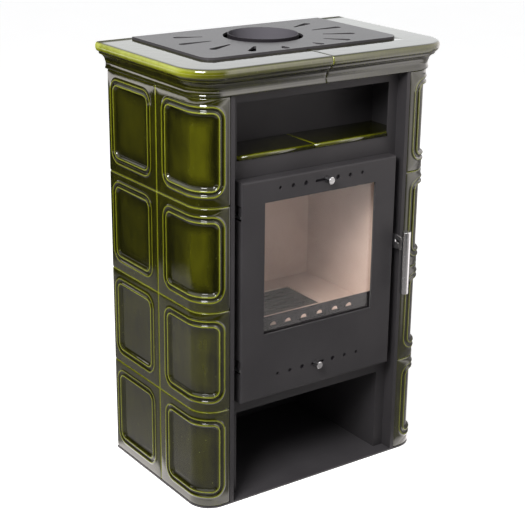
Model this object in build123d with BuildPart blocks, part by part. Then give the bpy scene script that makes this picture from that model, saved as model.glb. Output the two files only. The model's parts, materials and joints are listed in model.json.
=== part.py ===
from build123d import *
from math import cos, radians, sin, sqrt
import os

# A tiled wood stove: glazed tiles hung round a welded steel fire body.
# Millimetres, +Z up, front toward -Y. X = 0 is mid-width, Y = 0 is mid-depth of the tiled body.

# Tiled body
body_half_w = 302.5
body_half_d = 185.5
base_t = 4
tile_pitch = 224
tile_rows = 4
tile_t = 29
tile_corner_r = 52
tile_edge_r = 4
side_joint_y = -15
front_tile_x = 231

# Raised beads and sunk field of a tile
bead_r = 3.5
bead_rise = 2
bead_sink = bead_r - bead_rise
bead_round = 1.9
bead_root = 8
bead_bend_r = 28
bead_step = 12
bead_top = 18
bead_bottom = 23
bead_back = 14
bead_joint = 20
bead_corner_joint = 26
bead_front = 15
hollow_depths = (1.5, 4.5)

# Cornice
cornice_nose = 26.5
cornice_nose_low = 38
cornice_nose_high = 49
cornice_lip = 20.5
cornice_shoulder = 18.5
cornice_fillet = 18
cornice_cove_top = 34
cornice_cove_mid = (7, 26)
cornice_cove_low = 11
cornice_neck = 2
cornice_roll = 4.5
cornice_top_z = 960
cornice_slab_t = 20
cornice_ledge = 50
seam = 1
cornice_open_x = 232
cornice_open_y = -117
cornice_slab_lap = (1, 3)

# Top plate and flue
plate_half_w = 248
plate_front_y = -123
plate_back_y = 170
plate_t = 5
plate_corner_r = 27
plate_hole_r = 87
flue_y = 38
flue_r = 75
flue_wall = 2
flue_proud = 5
slot_angles = (17, 42, 66, 90, 113)
slot_reach = (152.5, 183, 196, 203, 187)
slot_inner_at = 135
slot_inner_r = 3
slot_outer_r = 8.5

# Steel body
sheet = 2
panel_front_y = -155
panel_half_w = 257
post_inner_x = 221.5
post_outer_x = front_tile_x
side_sheet_x = 257
back_sheet_y = 181
back_flange_y = 157
vent_count = 9
vent_pitch = 28
vent_slot = (60, 8)
vent_z = (120, 830)

# Warming niche
niche_open_x = 197
niche_sill_z = 757
niche_top_z = 876.5
niche_half_w = 238
niche_back_y = -52
shelf_t = 10
shelf_half_w = 196
shelf_front_y = -157
shelf_side_gap = 1
shelf_edge_r = 4.5

# Wood store
store_half_w = 195
store_top_z = 196.5
store_back_y = 150

# Firebox
fire_half_w = 214
fire_back_y = 137
fire_bottom_z = 245
fire_top_z = 745
fire_wall = 3
mouth_half_w = 175
mouth_bottom_z = 248
mouth_top_z = 700
hearth_z = 366
brick_t = 25
shelf_plate_t = 3
grate_half_w = 86.5
grate_front_y = -72
grate_back_y = 53
lining_t = 25
lining_top_z = 690
lining_back_y = 109
baffle_t = 22
baffle_front_y = -60
smoke_half_w = 90
smoke_front_y = -40
smoke_top_z = 905
smoke_mouth_r = 70

# Grate, log guard and ash pan
grate_rim = 10
grate_low = 2
grate_bar_t = 10
grate_slot = (120, 8)
grate_slot_pitch = 20
grate_slots = 5
shelf_ledge = 12
brick_gap = 1
baffle_chamfer = 4
guard_half_w = 177
guard_top_z = 404
guard_t = 3
guard_hole_x = (21.5, 64, 103)
guard_hole_r = 9
guard_hole_z = 381
pan_w = 300
pan_d = 230
pan_h = 70
pan_wall = 1.5
pan_front_y = -142
pan_lip = (90, 8)

# Door
door_half_w = 203.5
door_bottom_z = 230
door_top_z = 718.5
door_front_y = -184.5
door_back_y = -157.5
door_sheet = 3
door_edge_r = 5
window_half_w = 146
window_bottom_z = 376
window_top_z = 668
glass_lap = 10
glass_t = 4
seal_t = 4
rim_outer_x = 188
rim_inner_x = 178
rim_outer_top_z = 714.5
rim_outer_bottom_z = 234
rim_back_y = -160
rope_groove = 3.5
hinge_x = -196
hinge_y = -172
hinge_arm_z = (300, 640)
hinge_pin_r = 4
hinge_arm_t = 6
hinge_eye_r = 6
hinge_pin_h = 16
hinge_notch = (4, 32)
knuckle_w = 11.5
knuckle_d = 15
knuckle_h = 18
knuckle_play = 0.2
bore_play = 0.06
rope_play = 0.2
rope_round = 2.5
rope_side = 1
clip_w = 20
clip_t = 1.5
clip_foot = 6
clip_x = 100
clip_play = 0.2

# Air slides
slide_z = (695, 279)
slide_rest_x = (12.5, -6.5)
slide_slot = (36, 6)
slide_half_w = 125
slide_h = 14
slide_t = 2
slide_play = 0.2
guide_x = 64
guide_w = 16
guide_foot = 3.5
guide_lap = 5
guide_t = 2.1
hole_x = (42, 75, 108)
hole_d = (10.5, 9, 7.5)
knob_r = 8
knob_front_y = -202
knob_t = 16
knob_edge = 1
stem_r = 2.7

# Handle
handle_x = 215
handle_y = -215
handle_r = 9.75
handle_low_z = 406
handle_high_z = 551
latch_z = 524
latch_half_h = 17
latch_y = -172
latch_x = 205.5
latch_t = 3
latch_eye_r = 15
latch_fold_y = -188
latch_end = (4, 5)
latch_slope = 11
latch_hole = (16, 7)
latch_hole_y = -196
latch_hole_tilt = 25
bolt_inset = 2
bolt_play = 0.3
bolt_head_r = 7
bolt_head_t = 4
handle_groove_at = (12, 8)
handle_cap_h = 8
handle_bore_r = 5.5
handle_bore_depth = 40
handle_groove = 0.8
handle_groove_w = 1.5
handle_low_edge = 0.8
handle_top_edge = 1.5

# How far a cutting shape passes the surface it cuts
cut_past = 1

# Where a box or rectangle starts from its point
from_middle = (Align.CENTER, Align.MIN, Align.MIN)
from_corner = (Align.MIN, Align.MIN, Align.MIN)
from_foot = (Align.CENTER, Align.CENTER, Align.MIN)
above_middle = (Align.CENTER, Align.MIN)

os.makedirs("parts", exist_ok=True)


def save(piece, label):
    """Write one finished sub-part under its own name."""
    piece.part.label = label
    export_step(piece.part, f"parts/{label}.step")


def save_pair(piece, label):
    """Write a left-hand piece and its mirror image on the right."""
    save(piece, f"{label}_left")
    with BuildPart() as other:
        mirror(piece.part, about=Plane.YZ)
    save(other, f"{label}_right")


def save_rows(piece, label):
    """Write the same tile once for each row, on the left and mirrored on the right."""
    for row in range(tile_rows):
        with BuildPart() as row_tile:
            with Locations((0, 0, row * tile_pitch)):
                add(piece.part)
        save_pair(row_tile, f"{label}_row_{row + 1}")


# ---------------------------------------------------------------- floor plate
corner_x = body_half_w - tile_corner_r
corner_y = -(body_half_d - tile_corner_r)

with BuildPart() as floor_plate:
    with BuildSketch() as footprint:
        Rectangle(2 * body_half_w, 2 * body_half_d)
        fillet(footprint.vertices().group_by(Axis.Y)[0], tile_corner_r)
    extrude(amount=base_t)
save(floor_plate, "floor_plate")

# ---------------------------------------------------------------- side tiles
tile_z = base_t
tile_top_z = tile_z + tile_pitch
side_face = Plane(origin=(-body_half_w, 0, 0), x_dir=(0, -1, 0), z_dir=(-1, 0, 0))
side_tile_w = body_half_d - side_joint_y
bead_h = tile_pitch - bead_top - bead_bottom
bead_mid_z = tile_z + bead_bottom + bead_h / 2
bead_w = side_tile_w - bead_joint - bead_back
bead_mid_y = side_joint_y + bead_joint + bead_w / 2

with BuildPart() as side_tile:
    with BuildSketch(side_face):
        with Locations((-(side_joint_y + body_half_d) / 2, tile_z + tile_pitch / 2)):
            Rectangle(side_tile_w, tile_pitch)
    extrude(amount=-tile_t)
    fillet(side_tile.faces().sort_by(Axis.X)[0].edges(), tile_edge_r)
    for ring in range(2):
        inset = ring * bead_step
        with BuildSketch(side_face):
            with Locations((-bead_mid_y, bead_mid_z)):
                RectangleRounded(bead_w - 2 * inset, bead_h - 2 * inset, bead_bend_r - inset)
        extrude(amount=-hollow_depths[ring], mode=Mode.SUBTRACT)
    for ring in range(2):
        inset = ring * bead_step
        with BuildSketch(side_face.offset(-bead_sink), mode=Mode.PRIVATE) as bead_line:
            with Locations((-bead_mid_y, bead_mid_z)):
                RectangleRounded(bead_w - 2 * inset, bead_h - 2 * inset, bead_bend_r - inset)
        bead_path = bead_line.sketch.face().outer_wire()
        with BuildSketch(Plane(origin=bead_path @ 0, z_dir=bead_path % 0)):
            Circle(bead_r)
        sweep(path=bead_path)
save_rows(side_tile, "side_tile")

# ---------------------------------------------------------------- corner tiles


def corner_plan(depth, overshoot=0):
    """Plan of the left corner tile inside the line this deep under its face, ends carried on."""
    bend = tile_corner_r - depth
    side_end = side_joint_y + overshoot
    front_end = -front_tile_x + overshoot
    with BuildSketch(Plane.XY.offset(tile_z)) as plan:
        with BuildLine():
            Polyline((front_end, corner_y), (front_end, corner_y - bend), (-corner_x, corner_y - bend))
            RadiusArc((-corner_x, corner_y - bend), (-corner_x - bend, corner_y), bend)
            Polyline((-corner_x - bend, corner_y), (-corner_x - bend, side_end), (-corner_x, side_end))
            Polyline((-corner_x, side_end), (-corner_x, corner_y), (front_end, corner_y))
        make_face()
    return plan.sketch


def ring_limits(ring):
    """Bend radius, top, bottom, side end and front end of one bead ring on the corner tile."""
    inset = ring * bead_step
    return (
        bead_bend_r - inset,
        tile_top_z - bead_top - inset,
        tile_z + bead_bottom + inset,
        side_joint_y - bead_corner_joint - inset,
        -(front_tile_x + bead_front + inset),
    )


def corner_band(ring, grow, outer_depth, inner_depth):
    """Rounded rectangle wrapped round the corner between two depths, grown past the bead line."""
    bend, top, bottom, side_end, front_end = ring_limits(ring)
    height = top - bottom + 2 * grow
    middle_z = (top + bottom) / 2
    with BuildPart() as band:
        extrude(corner_plan(outer_depth), amount=tile_pitch)
        extrude(corner_plan(inner_depth, cut_past), amount=tile_pitch, mode=Mode.SUBTRACT)
        with BuildSketch(Plane.YZ):
            with Locations((side_end + grow - body_half_d, middle_z)):
                RectangleRounded(2 * body_half_d, height, bend + grow)
        extrude(amount=-2 * body_half_w, mode=Mode.INTERSECT)
        with BuildSketch(Plane.XZ):
            with Locations((front_end + grow - body_half_w, middle_z)):
                RectangleRounded(2 * body_half_w, height, bend + grow)
        extrude(amount=2 * body_half_d, mode=Mode.INTERSECT)
    return band.part


def rim_edge(edge, rise):
    """True for an edge that lies this far outside the tile's face and bounds a shape there."""
    middle = edge @ 0.5
    away_x = max(-corner_x - middle.X, 0)
    away_y = max(corner_y - middle.Y, 0)
    on_face = abs(sqrt(away_x**2 + away_y**2) - tile_corner_r - rise) < 0.05
    upright = abs((edge % 0.5).Z) > 0.9
    at_seam = abs(middle.X + corner_x) < 0.1 or abs(middle.Y - corner_y) < 0.1
    return on_face and not (upright and at_seam)


def corner_bead(ring):
    """One raised bead: a band round the tile with its outer edges rounded over."""
    with BuildPart() as bead:
        add(corner_band(ring, bead_r, -bead_rise, bead_root))
        hollow = corner_band(ring, -bead_r, -bead_rise - cut_past, bead_root + cut_past)
        add(hollow, mode=Mode.SUBTRACT)
        fillet(bead.edges().filter_by(lambda edge: rim_edge(edge, bead_rise)), bead_round)
    return bead.part


with BuildPart() as corner_tile:
    extrude(corner_plan(0), amount=tile_pitch)
    extrude(corner_plan(tile_t, cut_past), amount=tile_pitch, mode=Mode.SUBTRACT)
    fillet(corner_tile.edges().filter_by(lambda edge: rim_edge(edge, 0)), tile_edge_r)
    for ring in range(2):
        add(corner_band(ring, 0, -bead_rise, hollow_depths[ring]), mode=Mode.SUBTRACT)
    for ring in range(2):
        add(corner_bead(ring))
save_rows(corner_tile, "corner_tile")

# ---------------------------------------------------------------- cornice
tiles_top_z = base_t + tile_rows * tile_pitch
slab_z = cornice_top_z - cornice_slab_t
roll_top_z = tiles_top_z + 2 * cornice_roll
cove_top_z = tiles_top_z + cornice_cove_top
nose_low_z = tiles_top_z + cornice_nose_low


def cornice_profile(plane):
    """Moulding section: roll, cove, step and rounded nose, measured outward from the tile face."""
    with BuildSketch(plane) as section:
        with BuildLine():
            Polyline((-cornice_ledge, cornice_top_z), (-cornice_ledge, slab_z), (-tile_t, slab_z))
            Polyline((-tile_t, slab_z), (-tile_t, tiles_top_z), (cornice_neck, tiles_top_z))
            ThreePointArc(
                (cornice_neck, tiles_top_z),
                (cornice_neck + cornice_roll, tiles_top_z + cornice_roll),
                (cornice_neck, roll_top_z),
            )
            Line((cornice_neck, roll_top_z), (cornice_neck, tiles_top_z + cornice_cove_low))
            ThreePointArc(
                (cornice_neck, tiles_top_z + cornice_cove_low),
                (cornice_cove_mid[0], tiles_top_z + cornice_cove_mid[1]),
                (cornice_fillet, cove_top_z),
            )
            Polyline((cornice_fillet, cove_top_z), (cornice_fillet, nose_low_z), (cornice_lip, nose_low_z))
            ThreePointArc(
                (cornice_lip, nose_low_z),
                (cornice_nose, tiles_top_z + cornice_nose_high),
                (cornice_shoulder, cornice_top_z),
            )
            Line((cornice_shoulder, cornice_top_z), (-cornice_ledge, cornice_top_z))
        make_face()
    return section.sketch


side_section = Plane(origin=(-body_half_w, corner_y, 0), x_dir=(-1, 0, 0), z_dir=(0, 1, 0))
front_section = Plane(origin=(-corner_x, -body_half_d, 0), x_dir=(0, -1, 0), z_dir=(-1, 0, 0))
corner_axis = Axis((-corner_x, corner_y, 0), (0, 0, 1))

with BuildPart() as cornice:
    extrude(cornice_profile(side_section), amount=body_half_d - corner_y)
    revolve(cornice_profile(side_section), axis=corner_axis, revolution_arc=90)
    extrude(cornice_profile(front_section), amount=-(corner_x - seam / 2))
    with Locations((-seam / 2, body_half_d, slab_z)):
        Box(
            body_half_w - cornice_ledge - seam / 2 + cornice_slab_lap[0],
            body_half_d - corner_y + cornice_slab_lap[1],
            cornice_slab_t,
            align=(Align.MAX, Align.MAX, Align.MIN),
        )
    with Locations((0, body_half_d, slab_z)):
        Box(
            cornice_open_x,
            body_half_d - cornice_open_y,
            cornice_slab_t,
            align=(Align.MAX, Align.MAX, Align.MIN),
            mode=Mode.SUBTRACT,
        )
save_pair(cornice, "cornice")

# ---------------------------------------------------------------- top plate
with BuildPart() as top_plate:
    with BuildSketch(Plane.XY.offset(cornice_top_z)) as outline:
        with Locations((0, (plate_front_y + plate_back_y) / 2)):
            Rectangle(2 * plate_half_w, plate_back_y - plate_front_y)
        fillet(outline.vertices().group_by(Axis.Y)[0], plate_corner_r)
        with Locations((0, flue_y)):
            Circle(plate_hole_r, mode=Mode.SUBTRACT)
    extrude(amount=plate_t)
    for angle, reach in zip(slot_angles, slot_reach):
        for side in (-1, 1):
            away = Vector(side * sin(radians(angle)), -cos(radians(angle)))
            with BuildSketch(Plane.XY.offset(cornice_top_z)):
                with Locations(Vector(0, flue_y) + away * slot_inner_at):
                    Circle(slot_inner_r)
                with Locations(Vector(0, flue_y) + away * reach):
                    Circle(slot_outer_r)
                make_hull()
            extrude(amount=plate_t, mode=Mode.SUBTRACT)
save(top_plate, "top_plate")

# ---------------------------------------------------------------- flue
with BuildPart() as flue_collar:
    with BuildSketch(Plane.XY.offset(smoke_top_z)):
        with Locations((0, flue_y)):
            Circle(flue_r + flue_wall)
            Circle(flue_r, mode=Mode.SUBTRACT)
    extrude(amount=cornice_top_z + plate_t + flue_proud - smoke_top_z)
save(flue_collar, "flue_collar")

# ---------------------------------------------------------------- steel body
post_w = post_outer_x - post_inner_x
post_d = panel_front_y + body_half_d

with BuildPart() as post:
    with BuildSketch(Plane.XY.offset(base_t)):
        with Locations((-post_outer_x, -body_half_d)):
            Rectangle(post_w, post_d, align=(Align.MIN, Align.MIN))
        with Locations((-post_outer_x + sheet, -body_half_d + sheet)):
            Rectangle(post_w - 2 * sheet, post_d, align=(Align.MIN, Align.MIN), mode=Mode.SUBTRACT)
    extrude(amount=tiles_top_z - base_t)
save_pair(post, "front_post")

with BuildPart() as front_panel:
    with BuildSketch(Plane.XZ.offset(-panel_front_y)):
        with Locations((0, base_t)):
            Rectangle(2 * panel_half_w, tiles_top_z - base_t, align=above_middle)
        with Locations((0, niche_sill_z)):
            Rectangle(
                2 * niche_open_x,
                niche_top_z - niche_sill_z,
                align=above_middle,
                mode=Mode.SUBTRACT,
            )
        with Locations((0, mouth_bottom_z)):
            Rectangle(
                2 * mouth_half_w,
                mouth_top_z - mouth_bottom_z,
                align=above_middle,
                mode=Mode.SUBTRACT,
            )
        with Locations((0, base_t)):
            Rectangle(
                2 * store_half_w,
                store_top_z - base_t,
                align=above_middle,
                mode=Mode.SUBTRACT,
            )
    extrude(amount=-sheet)
save(front_panel, "front_panel")
panel_back_y = panel_front_y + sheet

with BuildPart() as side_sheet:
    with Locations((-side_sheet_x, panel_back_y, base_t)):
        Box(
            sheet,
            back_sheet_y - panel_back_y,
            tiles_top_z - base_t,
            align=from_corner,
        )
save_pair(side_sheet, "side_sheet")

with BuildPart() as back_sheet:
    with BuildSketch(Plane.XZ.offset(-back_sheet_y)):
        with Locations((0, base_t)):
            Rectangle(2 * side_sheet_x, tiles_top_z - base_t, align=above_middle)
        with Locations((0, tiles_top_z)):
            Rectangle(
                2 * cornice_open_x,
                cornice_top_z - tiles_top_z,
                align=above_middle,
            )
        with Locations(*[(0, height) for height in vent_z]):
            with GridLocations(vent_pitch, 0, vent_count, 1):
                SlotOverall(*vent_slot, rotation=90, mode=Mode.SUBTRACT)
    extrude(amount=-sheet)
    with Locations((0, back_flange_y, cornice_top_z - sheet)):
        Box(2 * cornice_open_x, back_sheet_y - back_flange_y, sheet, align=from_middle)
save(back_sheet, "back_sheet")

# ---------------------------------------------------------------- warming niche
with BuildPart() as niche_liner:
    with Locations((0, panel_back_y, niche_sill_z - sheet)):
        Box(
            2 * niche_half_w + 2 * sheet,
            niche_back_y + sheet - panel_back_y,
            niche_top_z + 2 * sheet - niche_sill_z,
            align=from_middle,
        )
    with Locations((0, panel_back_y, niche_sill_z)):
        Box(
            2 * niche_half_w,
            niche_back_y - panel_back_y,
            niche_top_z - niche_sill_z,
            align=from_middle,
            mode=Mode.SUBTRACT,
        )
save(niche_liner, "niche_liner")

with BuildPart() as shelf_tile:
    with BuildSketch(Plane.XY.offset(niche_sill_z)):
        with Locations((-seam / 2, panel_back_y + shelf_side_gap / 2)):
            Rectangle(
                niche_half_w - shelf_side_gap - seam / 2,
                niche_back_y - panel_back_y - shelf_side_gap,
                align=(Align.MAX, Align.MIN),
            )
        with Locations((-seam / 2, shelf_front_y)):
            Rectangle(
                shelf_half_w - seam / 2,
                panel_back_y + shelf_side_gap - shelf_front_y,
                align=(Align.MAX, Align.MIN),
            )
    extrude(amount=shelf_t)
    front = shelf_tile.faces().filter_by(Axis.Y).sort_by(Axis.Y)[0]
    fillet(front.edges().filter_by(Axis.X), shelf_edge_r)
save_pair(shelf_tile, "shelf_tile")

# ---------------------------------------------------------------- wood store
with BuildPart() as store_liner:
    with Locations((0, panel_back_y, base_t)):
        Box(
            2 * store_half_w + 2 * sheet,
            store_back_y + sheet - panel_back_y,
            store_top_z + sheet - base_t,
            align=from_middle,
        )
        Box(
            2 * store_half_w,
            store_back_y - panel_back_y,
            store_top_z - base_t,
            align=from_middle,
            mode=Mode.SUBTRACT,
        )
save(store_liner, "store_liner")

# ---------------------------------------------------------------- firebox
shelf_z = hearth_z - brick_t
fire_inner_x = fire_half_w - fire_wall
fire_inner_back = fire_back_y - fire_wall

with BuildPart() as firebox:
    with Locations((0, panel_back_y, fire_bottom_z)):
        Box(
            2 * fire_half_w,
            fire_back_y - panel_back_y,
            fire_top_z - fire_bottom_z,
            align=from_middle,
        )
    with Locations((0, panel_back_y, fire_bottom_z + fire_wall)):
        Box(
            2 * fire_inner_x,
            fire_inner_back - panel_back_y,
            fire_top_z - fire_bottom_z - 2 * fire_wall,
            align=from_middle,
            mode=Mode.SUBTRACT,
        )
    with Locations((0, panel_back_y, shelf_z - shelf_plate_t)):
        Box(
            2 * fire_inner_x,
            fire_inner_back - panel_back_y,
            shelf_plate_t,
            align=from_middle,
        )
    with Locations((0, grate_front_y + shelf_ledge, shelf_z - shelf_plate_t)):
        Box(
            2 * (grate_half_w - shelf_ledge),
            grate_back_y - grate_front_y - 2 * shelf_ledge,
            shelf_plate_t,
            align=from_middle,
            mode=Mode.SUBTRACT,
        )
    with Locations((0, smoke_front_y + fire_wall, fire_top_z - fire_wall)):
        Box(
            2 * (smoke_half_w - fire_wall),
            fire_inner_back - smoke_front_y - fire_wall,
            fire_wall,
            align=from_middle,
            mode=Mode.SUBTRACT,
        )
save(firebox, "firebox")

with BuildPart() as smoke_box:
    with Locations((0, smoke_front_y, fire_top_z)):
        Box(
            2 * smoke_half_w,
            fire_back_y - smoke_front_y,
            smoke_top_z - fire_top_z,
            align=from_middle,
        )
    with Locations((0, smoke_front_y + fire_wall, fire_top_z)):
        Box(
            2 * (smoke_half_w - fire_wall),
            fire_back_y - smoke_front_y - 2 * fire_wall,
            smoke_top_z - fire_top_z - fire_wall,
            align=from_middle,
            mode=Mode.SUBTRACT,
        )
    with BuildSketch(Plane.XY.offset(smoke_top_z)):
        with Locations((0, flue_y)):
            Circle(smoke_mouth_r)
    extrude(amount=-fire_wall, mode=Mode.SUBTRACT)
save(smoke_box, "smoke_box")

lining_inner_x = fire_inner_x - lining_t

with BuildPart() as side_lining:
    with Locations((-fire_inner_x, panel_back_y, shelf_z)):
        Box(
            lining_t,
            fire_inner_back - panel_back_y,
            lining_top_z - shelf_z,
            align=from_corner,
        )
save_pair(side_lining, "lining")

with BuildPart() as back_lining:
    with Locations((0, lining_back_y, shelf_z)):
        Box(
            2 * lining_inner_x,
            fire_inner_back - lining_back_y,
            lining_top_z - shelf_z,
            align=from_middle,
        )
save(back_lining, "lining_back")

with BuildPart() as baffle:
    with Locations((0, baffle_front_y, lining_top_z)):
        Box(
            2 * fire_inner_x,
            fire_inner_back - baffle_front_y,
            baffle_t,
            align=from_middle,
        )
    chamfer(baffle.edges().filter_by(Axis.X).group_by(Axis.Y)[0], baffle_chamfer)
save(baffle, "baffle")

with BuildPart() as hearth_side:
    with Locations((-lining_inner_x, panel_back_y, shelf_z)):
        Box(
            lining_inner_x - grate_half_w - brick_gap,
            lining_back_y - panel_back_y,
            brick_t,
            align=from_corner,
        )
save_pair(hearth_side, "hearth_brick")

with BuildPart() as hearth_back:
    with Locations((0, grate_back_y + brick_gap, shelf_z)):
        Box(
            2 * grate_half_w,
            lining_back_y - grate_back_y - brick_gap,
            brick_t,
            align=from_middle,
        )
save(hearth_back, "hearth_brick_back")

with BuildPart() as hearth_front:
    with Locations((0, panel_back_y, shelf_z)):
        Box(
            2 * grate_half_w,
            grate_front_y - brick_gap - panel_back_y,
            brick_t,
            align=from_middle,
        )
save(hearth_front, "hearth_brick_front")

with BuildPart() as grate:
    with Locations((0, grate_front_y, shelf_z)):
        Box(
            2 * grate_half_w,
            grate_back_y - grate_front_y,
            brick_t - grate_low,
            align=from_middle,
        )
    with Locations((0, grate_front_y + grate_rim, shelf_z)):
        Box(
            2 * (grate_half_w - grate_rim),
            grate_back_y - grate_front_y - 2 * grate_rim,
            brick_t - grate_low - grate_bar_t,
            align=from_middle,
            mode=Mode.SUBTRACT,
        )
    with BuildSketch(Plane.XY.offset(hearth_z)):
        with Locations((0, (grate_front_y + grate_back_y) / 2)):
            with GridLocations(0, grate_slot_pitch, 1, grate_slots):
                SlotOverall(*grate_slot)
    extrude(amount=-brick_t, mode=Mode.SUBTRACT)
save(grate, "grate")

with BuildPart() as log_guard:
    with BuildSketch(Plane.XZ.offset(-panel_front_y)):
        with Locations((0, shelf_z)):
            Rectangle(2 * guard_half_w, guard_top_z - shelf_z, align=above_middle)
        with Locations(*[(side * across, guard_hole_z) for across in guard_hole_x for side in (-1, 1)]):
            Circle(guard_hole_r, mode=Mode.SUBTRACT)
        with Locations((0, guard_hole_z)):
            Rectangle(2 * guard_half_w, 2 * guard_hole_r, align=(Align.CENTER, Align.MAX))
    extrude(amount=guard_t)
save(log_guard, "log_guard")

with BuildPart() as ash_pan:
    with Locations((0, pan_front_y, fire_bottom_z + fire_wall)):
        Box(pan_w, pan_d, pan_h, align=from_middle)
    offset(amount=-pan_wall, openings=ash_pan.faces().sort_by(Axis.Z)[-1])
    with Locations((0, pan_front_y, fire_bottom_z + fire_wall + pan_h)):
        Box(*pan_lip, pan_wall, align=(Align.CENTER, Align.MAX, Align.MAX))
save(ash_pan, "ash_pan")

# ---------------------------------------------------------------- door
door_mid_z = (door_bottom_z + door_top_z) / 2
door_h = door_top_z - door_bottom_z
door_inner_y = door_front_y + door_sheet
door_face = Plane.XZ.offset(-door_front_y)
door_inside = Plane.XZ.offset(-door_inner_y)
window_mid_z = (window_bottom_z + window_top_z) / 2
window_h = window_top_z - window_bottom_z
rim_mid_z = (rim_outer_bottom_z + rim_outer_top_z) / 2
rim_h = rim_outer_top_z - rim_outer_bottom_z
rim_w = rim_outer_x - rim_inner_x
rope_outer_w = 2 * (rim_outer_x - rope_side)
rope_outer_h = rim_h - 2 * rope_side
rope_inner_w = 2 * (rim_inner_x + rope_side)
rope_inner_h = rim_h - 2 * rim_w + 2 * rope_side

with BuildPart() as door_frame:
    with BuildSketch(door_face):
        with Locations((0, door_mid_z)):
            Rectangle(2 * door_half_w, door_h)
    extrude(amount=-(door_back_y - door_front_y))
    fillet(door_frame.faces().sort_by(Axis.Y)[0].edges(), door_edge_r)
    with BuildSketch(door_inside):
        with Locations((0, door_mid_z)):
            Rectangle(2 * (door_half_w - door_sheet), door_h - 2 * door_sheet)
    extrude(amount=-(door_back_y - door_inner_y), mode=Mode.SUBTRACT)
    with BuildSketch(door_inside):
        with Locations((0, rim_mid_z)):
            Rectangle(2 * rim_outer_x, rim_h)
            Rectangle(2 * rim_inner_x, rim_h - 2 * rim_w, mode=Mode.SUBTRACT)
    extrude(amount=-(rim_back_y - door_inner_y))
    with BuildSketch(Plane.XZ.offset(-rim_back_y)):
        with Locations((0, rim_mid_z)):
            Rectangle(rope_outer_w, rope_outer_h)
            Rectangle(rope_inner_w, rope_inner_h, mode=Mode.SUBTRACT)
    extrude(amount=rope_groove, mode=Mode.SUBTRACT)
    with BuildSketch(door_face):
        with Locations((0, window_mid_z)):
            Rectangle(2 * window_half_w, window_h)
        for height in slide_z:
            with Locations((0, height)):
                SlotOverall(*slide_slot)
            for across, diameter in zip(hole_x, hole_d):
                with Locations((-across, height), (across, height)):
                    Circle(diameter / 2)
    extrude(amount=-door_sheet, mode=Mode.SUBTRACT)
    for arm_z in hinge_arm_z:
        with Locations((-door_half_w, door_inner_y, arm_z - hinge_notch[0])):
            Box(
                door_sheet,
                door_back_y - door_inner_y,
                hinge_notch[1],
                align=from_corner,
                mode=Mode.SUBTRACT,
            )
        knuckle_z = arm_z + hinge_arm_t + knuckle_play
        with Locations((-door_half_w + door_sheet, door_inner_y, knuckle_z)):
            Box(knuckle_w, knuckle_d, knuckle_h, align=from_corner)
        with Locations((hinge_x, hinge_y, knuckle_z)):
            Cylinder(
                hinge_pin_r + bore_play,
                knuckle_h,
                align=from_foot,
                mode=Mode.SUBTRACT,
            )
    with BuildSketch(Plane.YZ.offset(door_half_w - door_sheet)):
        with Locations((latch_y, latch_z)):
            Circle(hinge_pin_r)
    extrude(amount=door_sheet, mode=Mode.SUBTRACT)
save(door_frame, "door_frame")

with BuildPart() as hinge_brackets:
    for arm_z in hinge_arm_z:
        with BuildSketch(Plane.XY.offset(arm_z)):
            with Locations((hinge_x, hinge_y)):
                Circle(hinge_eye_r)
                Rectangle(2 * hinge_eye_r, panel_front_y - hinge_y, align=above_middle)
        extrude(amount=hinge_arm_t)
        with BuildSketch(Plane.XY.offset(arm_z + hinge_arm_t)):
            with Locations((hinge_x, hinge_y)):
                Circle(hinge_pin_r)
        extrude(amount=hinge_pin_h)
save(hinge_brackets, "hinge_brackets")

with BuildPart() as door_rope:
    with BuildSketch(Plane.XZ.offset(-rim_back_y + rope_groove)):
        with Locations((0, rim_mid_z)):
            Rectangle(rope_outer_w, rope_outer_h)
            Rectangle(rope_inner_w, rope_inner_h, mode=Mode.SUBTRACT)
    extrude(amount=-(panel_front_y - rope_play - rim_back_y + rope_groove))
    fillet(door_rope.faces().sort_by(Axis.Y)[-1].edges(), rope_round)
save(door_rope, "door_rope_seal")

glass_front_y = door_inner_y + seal_t
glass_back_y = glass_front_y + glass_t
glass_half_w = window_half_w + glass_lap
glass_h = window_h + 2 * glass_lap

with BuildPart() as window_seal:
    with BuildSketch(door_inside):
        with Locations((0, window_mid_z)):
            Rectangle(2 * glass_half_w, glass_h)
            Rectangle(2 * window_half_w + 2, window_h + 2, mode=Mode.SUBTRACT)
    extrude(amount=-seal_t)
save(window_seal, "window_seal")

with BuildPart() as door_glass:
    with BuildSketch(Plane.XZ.offset(-glass_front_y)):
        with Locations((0, window_mid_z)):
            Rectangle(2 * glass_half_w, glass_h)
    extrude(amount=-glass_t)
save(door_glass, "door_glass")

with BuildPart() as glass_clips:
    for way in (-1, 1):
        edge_z = window_mid_z + way * (glass_h / 2 + clip_play)
        for across in (-clip_x, clip_x):
            with Locations((across, door_inner_y, edge_z + way * clip_foot / 2)):
                Box(
                    clip_w,
                    glass_back_y - door_inner_y,
                    clip_foot,
                    align=(Align.CENTER, Align.MIN, Align.CENTER),
                )
            with Locations((across, glass_back_y, edge_z)):
                Box(clip_w, clip_t, 2 * clip_foot, align=(Align.CENTER, Align.MIN, Align.CENTER))
save(glass_clips, "glass_clips")

# ---------------------------------------------------------------- air slides


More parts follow.
